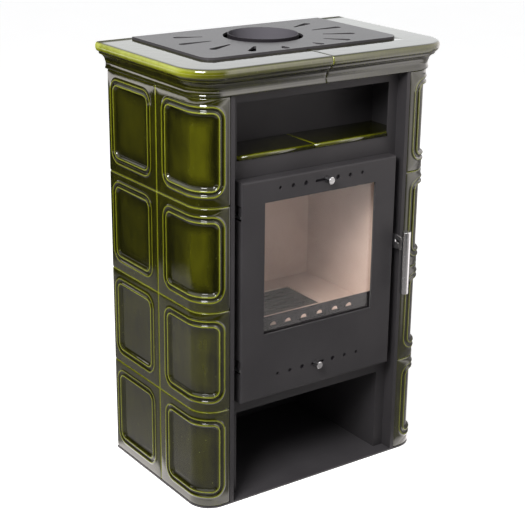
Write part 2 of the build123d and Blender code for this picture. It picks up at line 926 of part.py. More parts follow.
def air_slide(height, knob_x, label):
    """A perforated slide behind the door face, shut at rest, with its knob through the slot."""
    slide_y = door_inner_y + slide_play
    with BuildPart() as slide:
        with BuildSketch(Plane.XZ.offset(-slide_y)):
            with Locations((knob_x, height)):
                Rectangle(2 * slide_half_w, slide_h)
            for across, diameter in zip(hole_x, hole_d):
                with Locations((knob_x - across, height), (knob_x + across, height)):
                    Circle(diameter / 2, mode=Mode.SUBTRACT)
        extrude(amount=-slide_t)
    save(slide, f"{label}_air_slide")
    with BuildPart() as knob:
        with BuildSketch(Plane.XZ.offset(-knob_front_y)):
            with Locations((knob_x, height)):
                Circle(knob_r)
        extrude(amount=-knob_t)
        chamfer(knob.faces().sort_by(Axis.Y)[0].edges(), knob_edge)
        with BuildSketch(Plane.XZ.offset(-(knob_front_y + knob_t))):
            with Locations((knob_x, height)):
                Circle(stem_r)
        extrude(amount=-(slide_y - knob_front_y - knob_t))
    save(knob, f"{label}_air_knob")


air_slide(slide_z[0], slide_rest_x[0], "secondary")
air_slide(slide_z[1], slide_rest_x[1], "primary")

guide_gap = slide_t + 2 * slide_play

with BuildPart() as slide_guides:
    for height in slide_z:
        low = height - slide_h / 2 - slide_play
        for across in (-guide_x, guide_x):
            with Locations((across, door_inner_y, low)):
                Box(guide_w, guide_gap + guide_t, guide_foot, align=(Align.CENTER, Align.MIN, Align.MAX))
            with Locations((across, door_inner_y + guide_gap, low)):
                Box(guide_w, guide_t, guide_lap, align=from_middle)
save(slide_guides, "slide_guides")

# ---------------------------------------------------------------- handle
bolt_start_x = door_half_w - door_sheet - bolt_inset
bolt_head_x = latch_x + latch_t / 2 + bolt_play
latch_top_z = latch_z + latch_half_h

with BuildPart() as latch_bolt:
    with BuildSketch(Plane.YZ.offset(bolt_start_x)):
        with Locations((latch_y, latch_z)):
            Circle(hinge_pin_r)
    extrude(amount=bolt_head_x - bolt_start_x)
    with BuildSketch(Plane.YZ.offset(bolt_head_x)):
        with Locations((latch_y, latch_z)):
            RegularPolygon(bolt_head_r, 6)
    extrude(amount=bolt_head_t)
save(latch_bolt, "latch_bolt")

with BuildPart() as handle_bracket:
    with BuildSketch(Plane.XY.offset(latch_z - latch_half_h)):
        with BuildLine():
            Polyline(
                (latch_x, latch_y),
                (latch_x, latch_fold_y),
                (handle_x - latch_end[0], handle_y + latch_end[1]),
            )
            offset(amount=latch_t / 2, side=Side.BOTH)
        make_face()
    extrude(amount=2 * latch_half_h)
    with BuildSketch(Plane.YZ.offset(latch_x - latch_t)):
        with BuildLine():
            Polyline(
                (latch_fold_y, latch_top_z),
                (handle_y, latch_top_z - latch_slope),
                (handle_y, latch_top_z),
                close=True,
            )
        make_face()
        with Locations((latch_hole_y, latch_z)):
            SlotOverall(*latch_hole, rotation=latch_hole_tilt)
    extrude(amount=handle_x + handle_r - latch_x, mode=Mode.SUBTRACT)
    with BuildSketch(Plane.YZ.offset(latch_x - latch_t / 2)):
        with Locations((latch_y, latch_z)):
            Circle(latch_eye_r)
    extrude(amount=latch_t)
    with BuildSketch(Plane.YZ.offset(latch_x - latch_t / 2)):
        with Locations((latch_y, latch_z)):
            Circle(hinge_pin_r + bore_play)
    extrude(amount=latch_t, mode=Mode.SUBTRACT)
    with Locations((handle_x, handle_y, latch_z)):
        Cylinder(handle_r, 3 * latch_half_h, mode=Mode.SUBTRACT)
save(handle_bracket, "handle_bracket")

cap_z = handle_high_z - handle_cap_h

with BuildPart() as handle_tube:
    with Locations((handle_x, handle_y, handle_low_z)):
        Cylinder(handle_r, cap_z - handle_low_z, align=from_foot)
        Cylinder(
            handle_bore_r,
            handle_bore_depth,
            align=from_foot,
            mode=Mode.SUBTRACT,
        )
    for groove_z in (handle_low_z + handle_groove_at[0], cap_z - handle_groove_at[1]):
        with BuildSketch(Plane.XY.offset(groove_z)):
            with Locations((handle_x, handle_y)):
                Circle(handle_r + cut_past)
                Circle(handle_r - handle_groove, mode=Mode.SUBTRACT)
        extrude(amount=handle_groove_w, mode=Mode.SUBTRACT)
    chamfer(handle_tube.edges().sort_by(Axis.Z)[0], handle_low_edge)
save(handle_tube, "handle_tube")

with BuildPart() as handle_cap:
    with Locations((handle_x, handle_y, cap_z)):
        Cylinder(handle_r, handle_cap_h, align=from_foot)
    fillet(handle_cap.edges().sort_by(Axis.Z)[-1], handle_top_edge)
save(handle_cap, "handle_cap")
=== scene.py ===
import json
from math import cos, pi, radians, sin
import bpy
from mathutils import Matrix, Vector


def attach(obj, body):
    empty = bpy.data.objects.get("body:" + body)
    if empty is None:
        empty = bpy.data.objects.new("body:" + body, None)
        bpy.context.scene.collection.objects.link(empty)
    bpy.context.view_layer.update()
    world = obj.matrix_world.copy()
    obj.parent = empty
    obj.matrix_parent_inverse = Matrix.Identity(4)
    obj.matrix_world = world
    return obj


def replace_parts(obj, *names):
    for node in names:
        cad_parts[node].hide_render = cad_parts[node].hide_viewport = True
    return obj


bpy.context.scene.view_settings.view_transform = "Standard"

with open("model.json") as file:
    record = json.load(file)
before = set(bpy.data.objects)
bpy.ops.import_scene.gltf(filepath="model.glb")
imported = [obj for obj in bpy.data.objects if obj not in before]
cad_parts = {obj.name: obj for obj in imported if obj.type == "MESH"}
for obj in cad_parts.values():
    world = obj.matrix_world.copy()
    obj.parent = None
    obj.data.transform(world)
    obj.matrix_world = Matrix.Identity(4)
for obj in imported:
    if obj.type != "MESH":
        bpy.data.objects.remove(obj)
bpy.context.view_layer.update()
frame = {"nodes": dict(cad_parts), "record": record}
nodes = frame["nodes"]

# The model is in metres; the sizes below are in millimetres, as in the part's own source.
mm = 0.001

# ---------------------------------------------------------------- camera
photo_side = 525
focal_px = 1327.84
sensor_width = 36
sight_limit = 60
camera_place = (-1.645635, -2.303603, 1.457139)
camera_yaw = radians(-35.193)
camera_pitch = radians(19.464)
camera_roll = radians(0.656)


def make_camera():
    """The photograph's viewpoint: yaw turns it to the left of the front, pitch looks down."""
    data = bpy.data.cameras.new("photo_camera")
    data.sensor_width = sensor_width
    data.lens = focal_px * sensor_width / photo_side
    data.clip_end = sight_limit
    camera = bpy.data.objects.new("photo_camera", data)
    bpy.context.scene.collection.objects.link(camera)
    back = Vector(
        (
            sin(camera_yaw) * cos(camera_pitch),
            -cos(camera_yaw) * cos(camera_pitch),
            sin(camera_pitch),
        )
    )
    level_right = (-back).cross(Vector((0, 0, 1))).normalized()
    level_up = level_right.cross(-back)
    right = level_right * cos(camera_roll) + level_up * sin(camera_roll)
    up = level_up * cos(camera_roll) - level_right * sin(camera_roll)
    turn = Matrix((right, up, back)).transposed().to_4x4()
    camera.matrix_world = Matrix.Translation(camera_place) @ turn
    bpy.context.scene.camera = camera


make_camera()

# ---------------------------------------------------------------- material helpers
# Blender's noise mostly lies between these two values.
usual_noise = (0.3, 0.7)


def empty_tree(block, output_kind):
    """The emptied node tree of a material or world, and the surface socket of its new output."""
    block.use_nodes = True
    tree = block.node_tree
    tree.nodes.clear()
    return tree, tree.nodes.new(output_kind).inputs["Surface"]


def new_material(name, shader_kind="ShaderNodeBsdfPrincipled"):
    """A node material with one shader, joined to the output."""
    material = bpy.data.materials.new(name)
    tree, surface = empty_tree(material, "ShaderNodeOutputMaterial")
    shader = tree.nodes.new(shader_kind)
    tree.links.new(shader.outputs[0], surface)
    return material, tree, shader


def place_of(tree, stretch=(1, 1, 1)):
    """Coordinates on the part in metres, times a factor for each axis."""
    coordinates = tree.nodes.new("ShaderNodeTexCoord")
    mapping = tree.nodes.new("ShaderNodeMapping")
    mapping.inputs["Scale"].default_value = stretch
    tree.links.new(coordinates.outputs["Object"], mapping.inputs["Vector"])
    return mapping.outputs["Vector"]


def noise(tree, where, scale, detail=3.0, harshness=0.5):
    """Noise value of features about 1/scale metres across."""
    node = tree.nodes.new("ShaderNodeTexNoise")
    node.inputs["Scale"].default_value = scale
    node.inputs["Detail"].default_value = detail
    node.inputs["Roughness"].default_value = harshness
    tree.links.new(where, node.inputs["Vector"])
    return node.outputs["Fac"]


def cells(tree, where, scale):
    """Distance to the nearest of scattered points about 1/scale metres apart."""
    node = tree.nodes.new("ShaderNodeTexVoronoi")
    node.inputs["Scale"].default_value = scale
    tree.links.new(where, node.inputs["Vector"])
    return node.outputs["Distance"]


def ramp(tree, value, stops):
    """Colour ramp over value; stops are (position, colour)."""
    node = tree.nodes.new("ShaderNodeValToRGB")
    elements = node.color_ramp.elements
    elements[0].position, elements[0].color = stops[0][0], (*stops[0][1], 1)
    elements[1].position, elements[1].color = stops[-1][0], (*stops[-1][1], 1)
    for position, colour in stops[1:-1]:
        elements.new(position).color = (*colour, 1)
    tree.links.new(value, node.inputs["Fac"])
    return node.outputs["Color"]


def two_tone(tree, value, low_colour, high_colour, source=usual_noise):
    """Colour between two tones, after a value."""
    return ramp(tree, value, [(source[0], low_colour), (source[1], high_colour)])


def span(tree, value, source, target):
    """Maps value from the pair source onto the pair target, held at its ends."""
    node = tree.nodes.new("ShaderNodeMapRange")
    for name, number in zip(("From Min", "From Max", "To Min", "To Max"), (*source, *target)):
        node.inputs[name].default_value = number
    tree.links.new(value, node.inputs["Value"])
    return node.outputs["Result"]


def sums(tree, operation, first, second):
    """Math node on two values; a plain number may stand for the second."""
    node = tree.nodes.new("ShaderNodeMath")
    node.operation = operation
    tree.links.new(first, node.inputs[0])
    if isinstance(second, (int, float)):
        node.inputs[1].default_value = second
    else:
        tree.links.new(second, node.inputs[1])
    return node.outputs[0]


def blend_colour(tree, share, base, over):
    """Lays the plain colour over the base colour, by the share."""
    node = tree.nodes.new("ShaderNodeMix")
    node.data_type = "RGBA"
    factor, first, second = node.inputs[0], node.inputs[6], node.inputs[7]
    tree.links.new(share, factor)
    tree.links.new(base, first)
    second.default_value = (*over, 1)
    return node.outputs[2]


def weighted(tree, first, second, share):
    """Weighted mean of two values; share is the first one's weight."""
    return sums(
        tree,
        "ADD",
        sums(tree, "MULTIPLY", first, share),
        sums(tree, "MULTIPLY", second, 1 - share),
    )


def either_shader(tree, share, first, second, surface):
    """Joins the first shader to the surface where share is 0, and the second where it is 1."""
    node = tree.nodes.new("ShaderNodeMixShader")
    for index, output in enumerate((share, first.outputs[0], second.outputs[0])):
        tree.links.new(output, node.inputs[index])
    tree.links.new(node.outputs[0], surface)


def roughen(tree, shader, pattern, low, high, source=usual_noise):
    """Roughness between low and high, after a pattern."""
    tree.links.new(span(tree, pattern, source, (low, high)), shader.inputs["Roughness"])


def bump(tree, shader, height, depth, strength):
    """Bump of this depth in metres; several may be stacked on one shader."""
    node = tree.nodes.new("ShaderNodeBump")
    node.inputs["Distance"].default_value = depth
    node.inputs["Strength"].default_value = strength
    tree.links.new(height, node.inputs["Height"])
    if shader.inputs["Normal"].is_linked:
        tree.links.new(shader.inputs["Normal"].links[0].from_socket, node.inputs["Normal"])
    tree.links.new(node.outputs["Normal"], shader.inputs["Normal"])


# ---------------------------------------------------------------- materials


def glaze_material(name):
    """Transparent green glaze: thin and yellow-green on edges, thick and dark in the hollows."""
    material, tree, shader = new_material(name)
    where = place_of(tree)
    down_the_tile = place_of(tree, (1, 1, 0.3))
    edge = tree.nodes.new("ShaderNodeAttribute")
    edge.attribute_name = "thin_glaze_and_light"
    cloud = span(tree, noise(tree, where, scale=9, detail=4), (0.25, 0.75), (-0.05, 0.06))
    drip = span(tree, noise(tree, down_the_tile, scale=75), (0.3, 0.75), (-0.03, 0.05))
    # Besides the glaze's own thinning on edges and pooling in hollows, this value carries painted
    # light and shade in the tiles' fields, the cornice's front and the shelf's top.
    thin = sums(tree, "ADD", sums(tree, "ADD", edge.outputs["Fac"], cloud), drip)
    colour = ramp(
        tree,
        thin,
        [
            (0.0, (0.008, 0.008, 0.001)),
            (0.25, (0.042, 0.042, 0.002)),
            (0.5, (0.085, 0.087, 0.003)),
            (0.8, (0.20, 0.215, 0.012)),
            (1.0, (0.38, 0.41, 0.10)),
        ],
    )
    specks = span(tree, cells(tree, where, scale=55), (0.035, 0.06), (1, 0))
    speckled = blend_colour(tree, sums(tree, "MULTIPLY", specks, 0.35), colour, (0.32, 0.36, 0.1))
    tree.links.new(speckled, shader.inputs["Base Color"])
    shader.inputs["IOR"].default_value = 1.64
    roughen(tree, shader, noise(tree, where, scale=30), low=0.04, high=0.09)
    wave, ripple = noise(tree, where, scale=38, detail=2), noise(tree, where, scale=160, detail=2)
    bump(tree, shader, wave, depth=0.0006, strength=0.35)
    bump(tree, shader, ripple, depth=0.00012, strength=0.3)
    return material


def painted_steel(name, dark, light, roughness, grain=1400, sheen=0.2):
    """Baked stove paint on sheet steel: fine sandy grain, slight cloudiness."""
    material, tree, shader = new_material(name)
    where = place_of(tree)
    cloud = noise(tree, where, scale=7, detail=5)
    grit = noise(tree, where, scale=grain, detail=2, harshness=0.6)
    colour = two_tone(tree, weighted(tree, cloud, grit, 0.7), dark, light)
    tree.links.new(colour, shader.inputs["Base Color"])
    roughen(tree, shader, grit, low=roughness - 0.06, high=roughness + 0.08)
    shader.inputs["Specular IOR Level"].default_value = sheen
    bump(tree, shader, grit, depth=0.00008, strength=0.4)
    buckle = noise(tree, where, scale=6, detail=2)
    bump(tree, shader, buckle, depth=0.0012, strength=0.12)
    return material


def heat_steel(name):
    """Dull, darker paint of the hot steel parts."""
    return painted_steel(
        name,
        dark=(0.012, 0.0105, 0.0125),
        light=(0.023, 0.020, 0.0235),
        roughness=0.5,
        grain=300,
        sheen=0.06,
    )


def bright_metal(name, tint, roughness, stretch):
    """Turned or brushed stainless steel: fine lines across the axis with the largest factor."""
    material, tree, shader = new_material(name)
    lines = noise(tree, place_of(tree, stretch), scale=900, detail=4, harshness=0.7)
    groove_tint = tuple(0.86 * part for part in tint)
    tree.links.new(two_tone(tree, lines, groove_tint, tint), shader.inputs["Base Color"])
    shader.inputs["Metallic"].default_value = 1
    roughen(tree, shader, lines, low=roughness - 0.05, high=roughness + 0.08)
    bump(tree, shader, lines, depth=0.00003, strength=0.4)
    return material


def brick_material(name):
    """Pressed vermiculite board: beige with small dark and glinting flakes."""
    material, tree, shader = new_material(name)
    where = place_of(tree)
    flakes = cells(tree, where, scale=190)
    cloud = noise(tree, where, scale=14, detail=5)
    beige = two_tone(tree, cloud, (0.47, 0.355, 0.30), (0.55, 0.425, 0.365))
    spots = span(tree, flakes, (0.12, 0.4), (0.22, 0))
    spotted = blend_colour(tree, spots, beige, (0.30, 0.21, 0.16))
    tree.links.new(spotted, shader.inputs["Base Color"])
    roughen(tree, shader, flakes, low=0.8, high=0.95, source=(0, 0.6))
    shader.inputs["Specular IOR Level"].default_value = 0.25
    bump(tree, shader, cloud, depth=0.0008, strength=0.3)
    return material


def iron_material(name):
    """Sand-cast iron, dark and pitted."""
    material, tree, shader = new_material(name)
    where = place_of(tree)
    pits = noise(tree, where, scale=140, detail=4, harshness=0.6)
    rust = noise(tree, where, scale=22, detail=5, harshness=0.6)
    colour = two_tone(tree, rust, (0.028, 0.026, 0.026), (0.062, 0.052, 0.045), source=(0.35, 0.75))
    tree.links.new(colour, shader.inputs["Base Color"])
    shader.inputs["Metallic"].default_value = 0.4
    roughen(tree, shader, pits, low=0.5, high=0.75)
    bump(tree, shader, pits, depth=0.0002, strength=0.4)
    return material


def rope_material(name):
    """Knitted glass-fibre seal, dyed dark grey."""
    material, tree, shader = new_material(name)
    where = place_of(tree)
    knit = tree.nodes.new("ShaderNodeTexWave")
    knit.wave_type = "BANDS"
    knit.bands_direction = "DIAGONAL"
    knit.inputs["Scale"].default_value = 160
    knit.inputs["Distortion"].default_value = 2.5
    tree.links.new(where, knit.inputs["Vector"])
    fibres = noise(tree, where, scale=900, detail=3, harshness=0.7)
    mixed = weighted(tree, knit.outputs["Fac"], fibres, 0.6)
    colour = two_tone(tree, mixed, (0.022, 0.022, 0.023), (0.075, 0.073, 0.072), source=(0.2, 0.8))
    tree.links.new(colour, shader.inputs["Base Color"])
    roughen(tree, shader, fibres, low=0.8, high=0.95)
    bump(tree, shader, mixed, depth=0.0006, strength=0.8)
    return material


def glass_material(name):
    """Clear ceramic pane with a faint brown haze, which lets lamp light through to the firebox."""
    material, tree, shader = new_material(name)
    haze = noise(tree, place_of(tree), scale=12, detail=4)
    colour = two_tone(tree, haze, (0.90, 0.87, 0.84), (0.94, 0.92, 0.90))
    tree.links.new(colour, shader.inputs["Base Color"])
    shader.inputs["Roughness"].default_value = 0
    shader.inputs["Transmission Weight"].default_value = 1
    shader.inputs["IOR"].default_value = 1.45
    path = tree.nodes.new("ShaderNodeLightPath")
    clear = tree.nodes.new("ShaderNodeBsdfTransparent")
    clear.inputs["Color"].default_value = (0.96, 0.95, 0.94, 1)
    surface = tree.nodes["Material Output"].inputs["Surface"]
    either_shader(tree, path.outputs["Is Shadow Ray"], shader, clear, surface)
    return material


# The flue's bore, in millimetres.
flue_y = 38
flue_r = 75


def collar_material(name):
    """Hot steel, made paler inside the flue's round bore as a painted reflection of the light
    there.
    """
    material = heat_steel(name)
    tree = material.node_tree
    base = tree.nodes["Principled BSDF"].inputs["Base Color"]
    away = tree.nodes.new("ShaderNodeVectorMath")
    away.operation = "DISTANCE"
    away.inputs[1].default_value = (0, flue_y * mm, 0)
    tree.links.new(place_of(tree, (1, 1, 0)), away.inputs[0])
    bore_edge = ((flue_r + 0.3) * mm, (flue_r + 0.8) * mm)
    inside = span(tree, away.outputs["Value"], bore_edge, (0.9, 0))
    # Painted reflection: the paler colour inside the bore stands in for light reflected from the
    # bore's wall.
    painted_bore_sheen = blend_colour(tree, inside, base.links[0].from_socket, (0.115, 0.108, 0.122))
    tree.links.new(painted_bore_sheen, base)
    return material


finishes = {
    "green_glaze": glaze_material("green_glaze"),
    "shelf_glaze": glaze_material("shelf_glaze"),
    "body_steel": painted_steel("body_steel", (0.026, 0.024, 0.026), (0.040, 0.037, 0.039), 0.5),
    "plate_steel": painted_steel("plate_steel", (0.040, 0.037, 0.040), (0.060, 0.056, 0.059), 0.36),
    "heat_steel": heat_steel("heat_steel"),
    "collar_steel": collar_material("collar_steel"),
    "bare_steel": bright_metal("bare_steel", (0.45, 0.45, 0.46), 0.34, stretch=(1, 1, 6)),
    "bright_steel": bright_metal("bright_steel", (0.58, 0.58, 0.59), 0.2, stretch=(0.05, 0.05, 1)),
    "window_glass": glass_material("window_glass"),
    "seal_rope": rope_material("seal_rope"),
    "fire_brick": brick_material("fire_brick"),
    "cast_iron": iron_material("cast_iron"),
}

for subpart in frame["record"]["subparts"]:
    solid = nodes[subpart["node"]]
    solid.data.materials.clear()
    solid.data.materials.append(finishes[subpart["material_slot"]])
nodes["flue_collar"].data.materials[0] = finishes["collar_steel"]

# ---------------------------------------------------------------- mesh helpers


def new_mesh(name, points, faces, value_name, values, material):
    """A mesh object with one material and one number stored at each point."""
    mesh = bpy.data.meshes.new(name)
    mesh.from_pydata(points, [], faces)
    layer = mesh.attributes.new(value_name, "FLOAT", "POINT")
    layer.data.foreach_set("value", values)
    mesh.materials.append(material)
    piece = bpy.data.objects.new(name, mesh)
    bpy.context.scene.collection.objects.link(piece)
    return piece


def ring_faces(rings, count):
    """Quads between neighbouring closed rings of count points each."""
    faces = []
    for ring in range(rings - 1):
        here, there = ring * count, (ring + 1) * count
        for step in range(count):
            after = (step + 1) % count
            faces.append((here + step, here + after, there + after, there + step))
    return faces


def turned_over(faces):
    """The same faces, looking the other way."""
    return [tuple(reversed(face)) for face in faces]


def in_metres(x, y, z, mirrored):
    """A point of the left half in metres, or its mirror image in the right half."""
    side = -1 if mirrored else 1
    return (side * x * mm, y * mm, z * mm)


def glazed_piece(name, points, faces, thins, flat_faces=(), finish="green_glaze"):
    """A smooth mesh object in a glaze, with how thin the glaze lies at each point; in places that
    value also carries painted light and shade.
    """
    piece = new_mesh(name, points, faces, "thin_glaze_and_light", thins, finishes[finish])
    piece.data.shade_smooth()
    for index in flat_faces:
        piece.data.polygons[index].use_smooth = False
    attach(piece, "stove")
    return piece


# ---------------------------------------------------------------- tiles
half_w = 302.5
half_d = 185.5
base_t = 4
row_h = 224
tile_rows = 4
tile_t = 29
corner_r = 52
joint_y = -15
front_tile_x = 231
corner_x = half_w - corner_r
corner_y = -(half_d - corner_r)
arc_length = corner_r * pi / 2
# A corner tile runs straight from the joint to the bend, round it, and along the front.
bend_at = joint_y - corner_y
side_width = half_d - joint_y
corner_width = bend_at + arc_length + corner_x - front_tile_x

# Section of the tile's rounded border: distance in from its edge, height over its face,
# how thin the glaze lies.
border = [
    (0.0, -tile_t, 0.3),
    (0.0, -8.0, 0.3),
    (0.0, -4.0, 0.5),
    (0.35, -2.4, 0.8),
    (1.2, -1.1, 0.65),
    (2.4, -0.3, 0.2),
    (4.0, 0.0, 0.08),
]
outline_bend_r = 1.5
sharpest_bend_r = 0.4
# The corner tile's front edge shows less pale glaze than its other edges, over this width.
free_edge = 5
free_edge_share = 0.25

# Section across the two raised beads, from the outer bead's crest line inward.
beads = [
    (-6.0, 0.0, 0.08),
    (-4.4, 0.1, 0.03),
    (-3.2, 0.55, 0.05),
    (-2.2, 1.25, 0.12),
    (-1.1, 1.82, 0.45),
    (0.0, 2.0, 0.8),
    (1.1, 1.78, 0.6),
    (2.2, 1.1, 0.2),
    (3.2, 0.1, 0.02),
    (4.2, -0.8, 0.0),
    (5.2, -1.3, 0.0),
    (6.4, -1.5, 0.0),
    (7.5, -1.3, 0.0),
    (8.4, -0.6, 0.0),
    (9.3, 0.4, 0.08),
    (10.3, 1.35, 0.25),
    (11.2, 1.86, 0.65),
    (12.2, 2.0, 0.9),
    (13.2, 1.75, 0.6),
    (14.2, 1.05, 0.2),
    (15.2, -0.1, 0.08),
    (16.2, -1.5, 0.04),
    (17.2, -2.8, 0.02),
    (18.2, -3.75, 0.0),
    (19.4, -4.3, 0.0),
    (21.0, -4.5, 0.02),
    (23.5, -4.5, 0.05),
]
# Radius of the outer bead's corners, and its distance from the tile's edges: above, below, then
# at the joint and at the back of a flat tile, and at the joint and in front of a corner tile.
bead_bend_r = 28
bead_top = 18
bead_bottom = 23
bead_joint = 20
bead_back = 14
bead_corner_joint = 26
bead_front = 15

# How thin the glaze lies in the fields of the four courses, from the floor up: where they are
# flat, and where they bend. Higher courses and the bend are paler: painted light, for the lamp
# light that falls more on them. It changes over turn_width, most of it before the bend begins.
field_thin_and_light = (0.06, 0.08, 0.1, 0.15)
bend_thin_and_light = (0.12, 0.15, 0.26, 0.31)
turn_width = 34
turn_before_bend = 0.8
# The glaze is thicker at the field's rim, and thins over this share of the way to its middle.
rim_thin = 0.04
rim_share = 0.3

field_loops = 13
points_on_arc = 8
points_across = 44
points_up = 14


def round_loop(left, right, low, high, bend):
    """Points of a rounded rectangle, always the same number, from the lower right corner on."""
    bend = max(bend, sharpest_bend_r)
    centres = (
        (right - bend, low + bend, -90),
        (right - bend, high - bend, 0),
        (left + bend, high - bend, 90),
        (left + bend, low + bend, 180),
    )
    counts = (points_up, points_across, points_up, points_across)
    loop = []
    for index, (u, v, start) in enumerate(centres):
        for step in range(points_on_arc + 1):
            angle = radians(start + 90 * step / points_on_arc)
            loop.append((u + bend * cos(angle), v + bend * sin(angle)))
        next_u, next_v, next_start = centres[(index + 1) % 4]
        angle = radians(next_start)
        goal = (next_u + bend * cos(angle), next_v + bend * sin(angle))
        begin = loop[-1]
        for step in range(1, counts[index]):
            share = step / counts[index]
            loop.append(tuple(a + (b - a) * share for a, b in zip(begin, goal)))
    return loop


def side_place(u, v, height):
    """Flat side tile: u runs back from the joint."""
    return (-(half_w + height), joint_y + u, v)


def corner_place(u, v, height):
    """Corner tile: u runs from the joint along the side, round the bend and along the front."""
    if u <= bend_at:
        return (-(half_w + height), joint_y - u, v)
    if u >= bend_at + arc_length:
        return (-corner_x + u - bend_at - arc_length, -(half_d + height), v)
    turn = (u - bend_at) / corner_r
    reach = corner_r + height
    return (-corner_x - reach * cos(turn), corner_y - reach * sin(turn), v)


# The two kinds of tile: width, beads' distance from its first and last edge, where its points
# lie, and whether it bends round the corner.
flat_kind = (side_width, bead_joint, bead_back, side_place, False)
bent_kind = (corner_width, bead_corner_joint, bead_front, corner_place, True)


def field_glaze(u, share, bends, row):
    """How thin the glaze lies in the sunk field, with painted light that makes it paler in higher
    courses and round the bend; share is 1 at its rim and 0 in its middle.
    """
    open_thin_and_light = field_thin_and_light[row]
    if bends:
        turn = min(max((u - bend_at) / turn_width + turn_before_bend, 0), 1)
        open_thin_and_light += (bend_thin_and_light[row] - field_thin_and_light[row]) * turn
    inward = min(max((1 - share) / rim_share, 0), 1)
    return rim_thin + (open_thin_and_light - rim_thin) * inward


def tile_layers(width, near, far, bends, row):
    """Loops of one tile as (points, height, thin glaze), from its back edge to its middle."""
    layers = []
    for inset, height, thin in border:
        loop = round_loop(inset, width - inset, inset, row_h - inset, outline_bend_r + inset)
        thins = []
        for u, v in loop:
            thins.append(thin * free_edge_share if bends and u > width - free_edge else thin)
        layers.append((loop, height, thins))
    left, right, low, high = near, width - far, bead_bottom, row_h - bead_top
    for inset, height, thin in beads:
        sides = (left + inset, right - inset, low + inset, high - inset)
        loop = round_loop(*sides, bead_bend_r - inset)
        layers.append((loop, height, [thin] * len(loop)))
    rim, rim_height = layers[-1][:2]
    middle = ((left + right) / 2, (low + high) / 2)
    for ring in range(1, field_loops + 1):
        share = 1 - ring / (field_loops + 1)
        loop = [tuple(m + (p - m) * share for p, m in zip(point, middle)) for point in rim]
        layers.append((loop, rim_height, [field_glaze(u, share, bends, row) for u, v in loop]))
    layers.append(([middle], rim_height, [field_glaze(middle[0], 0, bends, row)]))
    return layers


def tile_piece(name, kind, row, mirrored):
    """One glazed tile as nested loops that follow its beads, closed by a fan in the middle."""
    width, near, far, place, bends = kind
    layers = tile_layers(width, near, far, bends, row)
    lift = base_t + row * row_h
    points, thins = [], []
    for loop, height, loop_thins in layers:
        points += [in_metres(*place(u, v + lift, height), mirrored) for u, v in loop]
        thins += loop_thins
    count = len(layers[0][0])
    faces = ring_faces(len(layers) - 1, count)
    hub = len(points) - 1
    faces += [(hub - count + step, hub - count + (step + 1) % count, hub) for step in range(count)]
    # Seen from outside, u runs one way on a flat tile and the other way on a corner tile.
    if mirrored == bends:
        faces = turned_over(faces)
    return glazed_piece(name, points, faces, thins)


for row in range(tile_rows):
    for side_name, mirrored in (("left", False), ("right", True)):
        flat = tile_piece(f"glazed_side_{row + 1}_{side_name}", flat_kind, row, mirrored)
        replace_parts(flat, f"side_tile_row_{row + 1}_{side_name}")
        bent = tile_piece(f"glazed_corner_{row + 1}_{side_name}", bent_kind, row, mirrored)
        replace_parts(bent, f"corner_tile_row_{row + 1}_{side_name}")

# ---------------------------------------------------------------- cornice
tiles_top = base_t + tile_rows * row_h
cornice_h = 60
ledge_t = 20
ledge_x = 232
ledge_y = -117
top_thin = 0.1
# Stations along the side, round the corner and along the front.
side_steps = 12
bend_steps = 18
front_steps = 12
# How thin the glaze lies on the front, next to the side's; the front's darker glaze is painted
# shade, for the lamp light that falls less on the front than on the side.
front_shade_share = 0.35
# The front's even stations end this far from mid-width, where the rounding takes over.
front_end = 9
# Rounded edge at the joint in front: distance from mid-width, how far sunk, and how thin the
# glaze lies there next to the moulding's own table.
joint_round = [
    (5.0, 0.0, 0.35),
    (2.6, 0.12, 0.4),
    (1.4, 0.5, 0.6),
    (0.8, 1.1, 1.4),
    (0.5, 2.0, 3.0),
]

# Section from the underside, out over roll, cove and nose, to the flat top:
# distance outward from the tile's face, height over the tiles, how thin the glaze lies.
moulding = [
    (-tile_t, cornice_h - ledge_t, 0.1),
    (-tile_t, 0.3, 0.1),
    (-1.0, 0.2, 0.3),
    (1.5, 0.2, 0.4),
    (3.2, 0.7, 0.3),
    (4.0, 1.7, 0.1),
    (4.2, 3.2, 0.05),
    (3.6, 5.0, 0.05),
    (2.9, 6.6, 0.05),
    (2.7, 8.4, 0.05),
    (2.7, 12.0, 0.06),
    (2.8, 15.5, 0.08),
    (3.3, 17.0, 0.3),
    (4.0, 17.8, 0.35),
    (4.4, 19.0, 0.05),
    (5.0, 22.0, 0.04),
    (6.8, 25.6, 0.06),
    (10.2, 29.6, 0.08),
    (14.2, 32.3, 0.1),
    (17.2, 33.6, 0.2),
    (18.2, 34.8, 0.35),
    (18.3, 37.0, 0.05),
    (18.8, 38.4, 0.05),
    (20.4, 39.4, 0.1),
    (22.6, 40.6, 0.35),
    (24.6, 43.0, 0.72),
    (26.0, 46.4, 0.82),
    (26.4, 50.0, 0.86),
    (26.2, 53.4, 0.9),
    (25.4, 56.2, 0.9),
    (24.0, 58.4, 0.7),
    (22.2, 59.5, 0.2),
    (19.6, 59.95, 0.1),
    (16.0, cornice_h, top_thin),
    (-48.0, cornice_h, top_thin),
]


# Points of the moulding above this height sink where the joint is rounded.
top_edge_z = 59
# The first faces of each ring are flat: the ledge's inner edge and underside, and the back of
# the moulding.
inner_faces = 3


